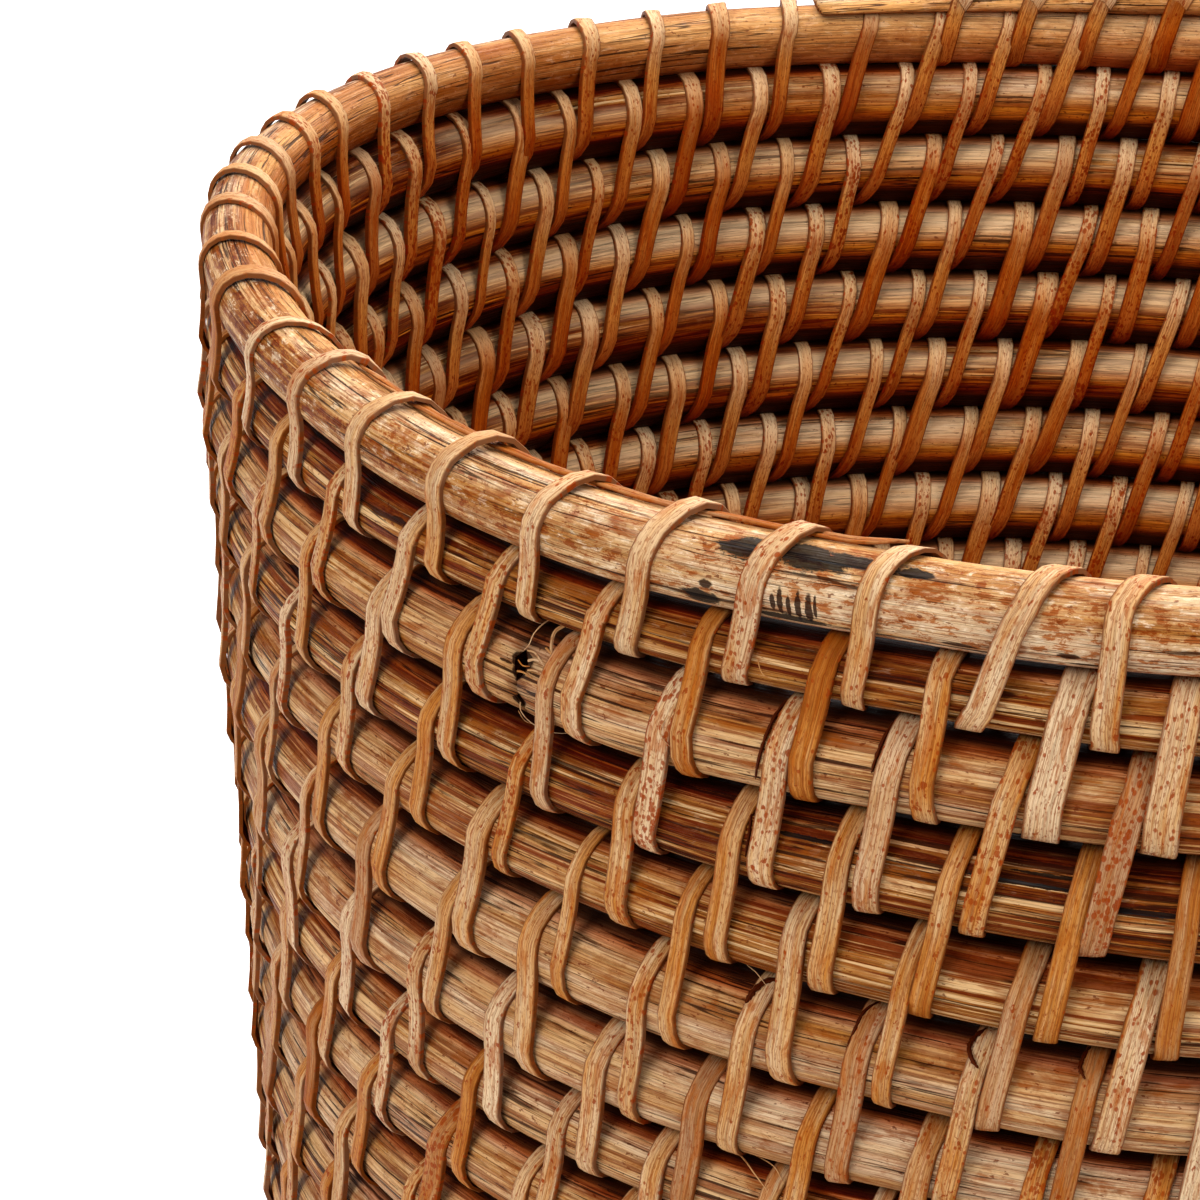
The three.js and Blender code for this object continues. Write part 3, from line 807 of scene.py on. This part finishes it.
def make_cane_material():
    """Rattan skin: brown bands, fibres, stains, dark streaks, scars and lacquer, with painted highlight and
    light on the rim and the inside, and, in the nooks, painted warm shade.
    """
    s = Shade("rattan_cane")
    grain = s.attribute("grain", "Vector")
    brown, dark, nook, top, inner, rim = map(s.attribute, ("brown", "dark", "nook", "top", "inner", "rim"))
    broad = s.noise(s.stretch(grain, (16, 170, 170)), 3)
    bands = s.noise(s.stretch(grain, (22, 420, 420), (3, 1, 2)), 4, 0.6)
    fibres = s.noise(s.stretch(grain, (80, 3600, 3600)), 3, 0.7)
    patches = s.noise(s.stretch(grain, (110, 330, 330), (5, 5, 5)), 5, 0.68, 0.8)
    mottle = s.noise(s.stretch(grain, (380, 900, 900), (6, 6, 1)), 5, 0.75, 0.3)
    specks = s.noise(s.stretch(grain, (900, 2000, 2000), (2, 8, 5)), 3, 0.6)
    # bands from straw to brown, stains and pale spots
    value = s.plus(s.times(brown, 0.8), s.times(broad, 1.2))
    value = s.plus(value, s.times(bands, 1.7))
    colour = s.colours(s.ramp(value, 1.15, 2.6), [(0.0, srgb(226, 194, 156)), (0.3, srgb(208, 161, 108)),
                                                 (0.6, srgb(180, 118, 52)), (1.0, srgb(118, 56, 8))])
    stains = s.times(s.ramp(mottle, 0.51, 0.58), s.ramp(rim, 0, 1, 0.3, 0.9))
    colour = s.mix(stains, colour, srgb(196, 128, 62), "MULTIPLY")
    pale = s.times(s.ramp(mottle, 0.46, 0.38), s.ramp(rim, 0, 1, 0.1, 0.6))
    colour = s.mix(pale, colour, srgb(252, 230, 196))
    # a painted highlight on the rim's top, then fibres and stripes
    rim_top_highlight = s.times(rim, s.ramp(top, 0.35, 0.9))
    rim_top_highlight = s.times(rim_top_highlight, s.ramp(bands, 0.54, 0.42))
    colour = s.mix(s.times(rim_top_highlight, 0.3), colour, srgb(254, 236, 204))
    colour = s.mix(s.ramp(fibres, 0.5, 0.6, 0, 0.5), colour, srgb(178, 112, 54), "MULTIPLY")
    stripes = s.noise(s.stretch(grain, (17, 1150, 1150), (2, 7, 7)), 3, 0.7)
    amount = s.times(s.ramp(brown, 0.05, 0.6, 0.3, 0.95), s.ramp(rim, 0, 1, 1.0, 0.6))
    darker = s.times(s.ramp(stripes, 0.5, 0.56), amount)
    colour = s.mix(darker, colour, srgb(160, 88, 28), "MULTIPLY")
    paler = s.times(s.ramp(stripes, 0.45, 0.39), amount)
    colour = s.mix(paler, colour, srgb(226, 182, 128))
    # painted light on the rim's inner side: golden, or brown where the cane is brown
    rim_inside_light = s.times(rim, s.ramp(inner, 0.0, 0.25, 0, 0.7))
    browner = s.ramp(s.plus(s.times(brown, 0.5), broad), 0.7, 1.1)
    colour = s.mix(rim_inside_light, colour, s.mix(browner, srgb(238, 174, 102), srgb(172, 86, 10)))
    # thin lines, blots, specks, cracks and dark streaks
    thin = s.lines(grain, (45, 2300, 2300), (7, 2, 1), 0.022)
    colour = s.mix(s.times(thin, 0.45), colour, srgb(124, 66, 22))
    blot = s.times(s.ramp(patches, 0.52, 0.64), s.ramp(inner, 0, 1, 0.75, 0.15))
    colour = s.mix(s.times(blot, s.ramp(fibres, 0.35, 0.6, 0.6, 1.0)), colour, srgb(146, 70, 10))
    colour = s.mix(s.ramp(specks, 0.63, 0.68, 0, 0.8), colour, srgb(108, 40, 4))
    bold = s.lines(grain, (20, 800, 800), (1, 9, 4), 0.02)
    region = s.noise(s.stretch(grain, (45, 420, 420), (4, 4, 9)), 4, 0.6)
    level = s.plus(region, s.times(dark, 0.2))
    cracks = s.times(bold, s.ramp(level, 0.54, 0.64))
    solid = s.noise(s.stretch(grain, (24, 1400, 1400), (1, 9, 4)), 4, 0.65)
    streak = s.ramp(s.plus(solid, s.times(dark, 0.085)), 0.63, 0.665)
    streak = s.math("MAXIMUM", streak, cracks)
    colour = s.mix(s.times(streak, 0.9), colour, srgb(48, 15, 2))
    # light and warm shade on the inside
    lit = s.times(s.times(inner, 0.6), s.ramp(top, 0.0, 0.5))
    lit = s.times(lit, s.ramp(broad, 0.62, 0.4))
    lit = s.times(lit, s.ramp(rim, 0, 1, 1, 0.2))
    colour = s.mix(lit, colour, srgb(240, 202, 154))
    warm = s.times(s.times(inner, 0.97), s.ramp(top, 0.6, -0.05))
    colour = s.mix(warm, colour, srgb(236, 170, 44), "MULTIPLY")
    # scars, the painted shade in the splice's hollow and lacquer at their places, then the painted shade in
    # the nooks
    along, across, up = s.node("SeparateXYZ", {0: grain}).outputs
    around = s.math("ARCTAN2", up, across)
    scars_and_hollow_shade = s.patches(SCARS_AND_HOLLOW_SHADE, along, around, mottle, 2.0)
    colour = s.mix(s.times(scars_and_hollow_shade, 0.94), colour, srgb(44, 14, 2))
    lacquer = s.patches(LACQUER, along, around, mottle, 2.4)
    colour = s.mix(s.times(lacquer, 0.94), colour,
                   s.mix(s.ramp(fibres, 0.5, 0.75), srgb(8, 6, 6), srgb(54, 51, 50)))
    # painted shade in the nooks: a warm orange tint, then near black
    nook_shade_tint = s.times(s.ramp(nook, 0.0, 0.7), s.ramp(broad, 0.3, 0.7, 0.7, 1.0))
    colour = s.mix(nook_shade_tint, colour, srgb(222, 126, 34), "MULTIPLY")
    colour = s.mix(s.ramp(nook, 0.4, 0.88, 0, 0.94), colour, srgb(30, 5, 0))
    s.surface("Base Color", colour)
    s.surface("Roughness", s.ramp(fibres, 0.35, 0.7, 0.36, 0.6))
    s.surface("Specular IOR Level", 0.025)
    height = s.minus(fibres, s.times(thin, 0.3))
    height = s.minus(height, s.times(streak, 0.6))
    s.surface("Normal", s.bump(height, 0.00025))
    return s.material


def make_strip_material():
    """Split cane: one tone for each stitch, fibres, stains, red-brown dots, dark edges that are partly
    painted shade, painted light on the crests and painted warm shade inside and in the nooks.
    """
    s = Shade("split_cane")
    grain = s.attribute("grain", "Vector")
    tone, spots, edge, shade = map(s.attribute, ("tone", "spots", "edge", "shade"))
    nook, crest, inner = map(s.attribute, ("nook", "crest", "inner"))
    broad = s.noise(s.stretch(grain, (80, 260, 3000)), 3)
    bands = s.noise(s.stretch(grain, (45, 1300, 5000), (1, 1, 1)), 3, 0.6)
    fibres = s.noise(s.stretch(grain, (100, 5600, 9000)), 3, 0.65)
    stain = s.noise(s.stretch(grain, (170, 800, 5000), (2, 2, 2)), 4, 0.65, 0.7)
    rust = s.noise(s.stretch(grain, (700, 1200, 7000), (3, 4, 5)), 3, 0.6)
    # tone, fibres and stains
    value = s.plus(s.times(tone, 0.37), s.times(broad, 1.3))
    value = s.plus(value, s.times(bands, 1.3))
    colour = s.colours(s.ramp(value, 0.75, 2.2), [(0.0, srgb(226, 194, 154)), (0.35, srgb(208, 160, 106)),
                                                (0.7, srgb(194, 124, 52)), (1.0, srgb(158, 80, 14))])
    colour = s.mix(s.ramp(shade, -0.5, -2.0, 0, 0.6), colour, srgb(182, 126, 74), "MULTIPLY")
    colour = s.mix(s.ramp(fibres, 0.5, 0.6, 0, 0.55), colour, srgb(182, 118, 56), "MULTIPLY")
    thin = s.lines(grain, (40, 2600, 6000), (2, 5, 3), 0.03)
    colour = s.mix(s.times(thin, 0.3), colour, srgb(136, 72, 20))
    colour = s.mix(s.ramp(stain, 0.51, 0.64, 0, 0.65), colour, srgb(172, 88, 18))
    # painted light on the crests and heads, then dark edges, rust, flecks and dots
    colour = s.mix(s.times(crest, 0.4), colour, srgb(240, 200, 150))
    # the dark edges are partly the strip's own colour and partly painted shade beside it
    colour = s.mix(s.ramp(edge, 0.8, 0.98, 0, 0.85), colour, srgb(104, 46, 8))
    level = s.plus(rust, s.times(spots, 0.02))
    colour = s.mix(s.ramp(level, 0.62, 0.65, 0, 0.85), colour, srgb(146, 52, 4))
    flecks = s.noise(s.stretch(grain, (1300, 4200, 9000), (8, 1, 3)), 2, 0.5)
    colour = s.mix(s.ramp(flecks, 0.55, 0.61, 0, 0.55), colour, srgb(148, 70, 20))
    cells = s.node("TexVoronoi", {"Vector": s.stretch(grain, (1250, 1700, 9000)), "Scale": 1.0})
    amount = s.plus(cells.outputs["Color"], s.times(spots, 0.22))
    size = s.minus(cells.outputs["Distance"], s.times(s.minus(amount, 0.66), 0.5))
    dots = s.times(s.ramp(size, 0.34, 0.16), s.ramp(amount, 0.64, 0.68))
    colour = s.mix(s.times(dots, 0.85), colour, srgb(152, 60, 8))
    # warm shade on the inside and in the nooks
    colour = s.mix(s.times(inner, 0.9), colour, srgb(240, 178, 60), "MULTIPLY")
    colour = s.mix(s.ramp(nook, 0.0, 0.8, 0, 0.95), colour, srgb(216, 122, 34), "MULTIPLY")
    colour = s.mix(s.ramp(nook, 0.5, 0.92, 0, 0.88), colour, srgb(40, 8, 0))
    s.surface("Base Color", colour)
    s.surface("Roughness", s.ramp(fibres, 0.3, 0.7, 0.36, 0.56))
    s.surface("Specular IOR Level", 0.025)
    height = s.minus(fibres, s.times(thin, 0.4))
    s.surface("Normal", s.bump(height, 0.0001))
    return s.material


# Pieces

def make_canes():
    """The base, the canes of the wall, which meet end to end, and the rim cane after the splice."""
    make_cane("cane_base", -BASE_TURNS, WALL_START - END_GAP, "base_coil_cane")
    for i in range(WALL_CANES):
        broken = "end" if i == WALL_CANES - 1 else None
        make_cane(f"cane_wall_{i + 1}", CANE_CUTS[i] + END_GAP, CANE_CUTS[i + 1] - END_GAP,
                  f"wall_cane_{i + 1}", broken)
    tip = WALL_TURNS - 1e-4
    make_cane("cane_rim", SPLICE_TURN + END_GAP, tip, "rim_cane", "start")


def make_lashings():
    """The strips that bind each course to the one before it, in lengths of one cane."""
    starts = (1.3 - BASE_TURNS, *CANE_CUTS[:WALL_CANES], WALL_TURNS - 1)
    counts = [int(math.ceil(count_at(turn))) for turn in starts]
    make_lashing("lashing_base", counts[0], counts[1])
    for i in range(WALL_CANES):
        make_lashing(f"lashing_wall_{i + 1}", counts[i + 1], counts[i + 2])
    last = int(math.floor(count_at(WALL_TURNS - 1e-6))) - 1
    make_lashing("lashing_rim", counts[-1], last, "rim_lashing")


cane_material = make_cane_material()
strip_material = make_strip_material()
make_canes()
make_lashings()
make_sliver()
make_fibres()
make_peels()


# Stage, light and camera

FLOOR_HALF = 6.0  # metres
FLOOR_GLOW = 0.45  # lifts the floor to white for the camera
WORLD_LIGHT = 0.2
# The camera's place, from where the coil's axis meets the floor, and two of its axes
CAMERA_PLACE = (-110.183, -544.601, 154.145 + BASE_HEIGHT + PITCH * WALL_TURNS)
CAMERA_RIGHT = (0.99867, -0.04507, 0.02504)
CAMERA_UP = (-0.00727, 0.35783, 0.93376)
LENS = 138.375


def seen_rays(tree):
    """1 for the camera's own rays and for those that shiny or clear things send on."""
    rays = tree.nodes.new("ShaderNodeLightPath")
    total = rays.outputs["Is Camera Ray"]
    for name in ("Is Glossy Ray", "Is Transmission Ray"):
        node = tree.nodes.new("ShaderNodeMath")
        node.operation = "MAXIMUM"
        tree.links.new(total, node.inputs[0])
        tree.links.new(rays.outputs[name], node.inputs[1])
        total = node.outputs[0]
    return total


def make_floor():
    mesh = bpy.data.meshes.new("floor")
    half = FLOOR_HALF
    corners = [(-half, -half, 0), (half, -half, 0), (half, half, 0), (-half, half, 0)]
    mesh.from_pydata(corners, [], [(0, 1, 2, 3)])
    floor = bpy.data.objects.new("floor", mesh)
    bpy.context.scene.collection.objects.link(floor)
    s = Shade("floor_white")
    s.surface("Roughness", 0.9)
    s.surface("Base Color", (0.82, 0.82, 0.82, 1))
    s.surface("Emission Color", (1, 1, 1, 1))
    s.surface("Emission Strength", s.times(seen_rays(s.tree), FLOOR_GLOW))
    mesh.materials.append(s.material)


def make_light(name, place, target, size, power):
    """A square area light in metres and watts, which points at the target."""
    light = bpy.data.lights.new(name, "AREA")
    light.shape = "SQUARE"
    light.size = size
    light.energy = power
    lamp = bpy.data.objects.new(name, light)
    lamp.location = place
    lamp.rotation_euler = (Vector(target) - Vector(place)).to_track_quat("-Z", "Y").to_euler()
    bpy.context.scene.collection.objects.link(lamp)


def make_world():
    world = bpy.data.worlds.new("studio")
    bpy.context.scene.world = world
    world.use_nodes = True
    tree = world.node_tree
    background = tree.nodes["Background"]
    background.inputs["Color"].default_value = (1, 1, 1, 1)
    strength = tree.nodes.new("ShaderNodeMapRange")
    strength.inputs["To Min"].default_value = WORLD_LIGHT
    tree.links.new(seen_rays(tree), strength.inputs["Value"])
    tree.links.new(strength.outputs["Result"], background.inputs["Strength"])


def make_camera():
    camera = bpy.data.cameras.new("camera")
    camera.sensor_width = 36
    camera.lens = LENS
    holder = bpy.data.objects.new("camera", camera)
    right = Vector(CAMERA_RIGHT)
    up = Vector(CAMERA_UP)
    turned = Matrix((right, up, right.cross(up))).transposed().to_4x4()
    place = (Vector(CAMERA_PLACE) + Vector(CENTRE)) * MM
    holder.matrix_world = Matrix.Translation(place) @ turned
    bpy.context.scene.collection.objects.link(holder)
    bpy.context.scene.camera = holder


make_floor()
make_world()
make_light("left", (-1.1, -0.8, 1.2), (0, 0, 0.15), 0.9, 14.6)
make_light("right", (0.9, -1.1, 1.1), (0, 0, 0.15), 0.9, 9.4)
make_light("back", (0.2, 1.2, 1.3), (0, 0, 0.15), 0.9, 31)
make_light("top", (0, 0, 1.6), (0, 0, 0.1), 1.2, 18.5)
make_camera()
bpy.context.scene.view_settings.view_transform = "Standard"
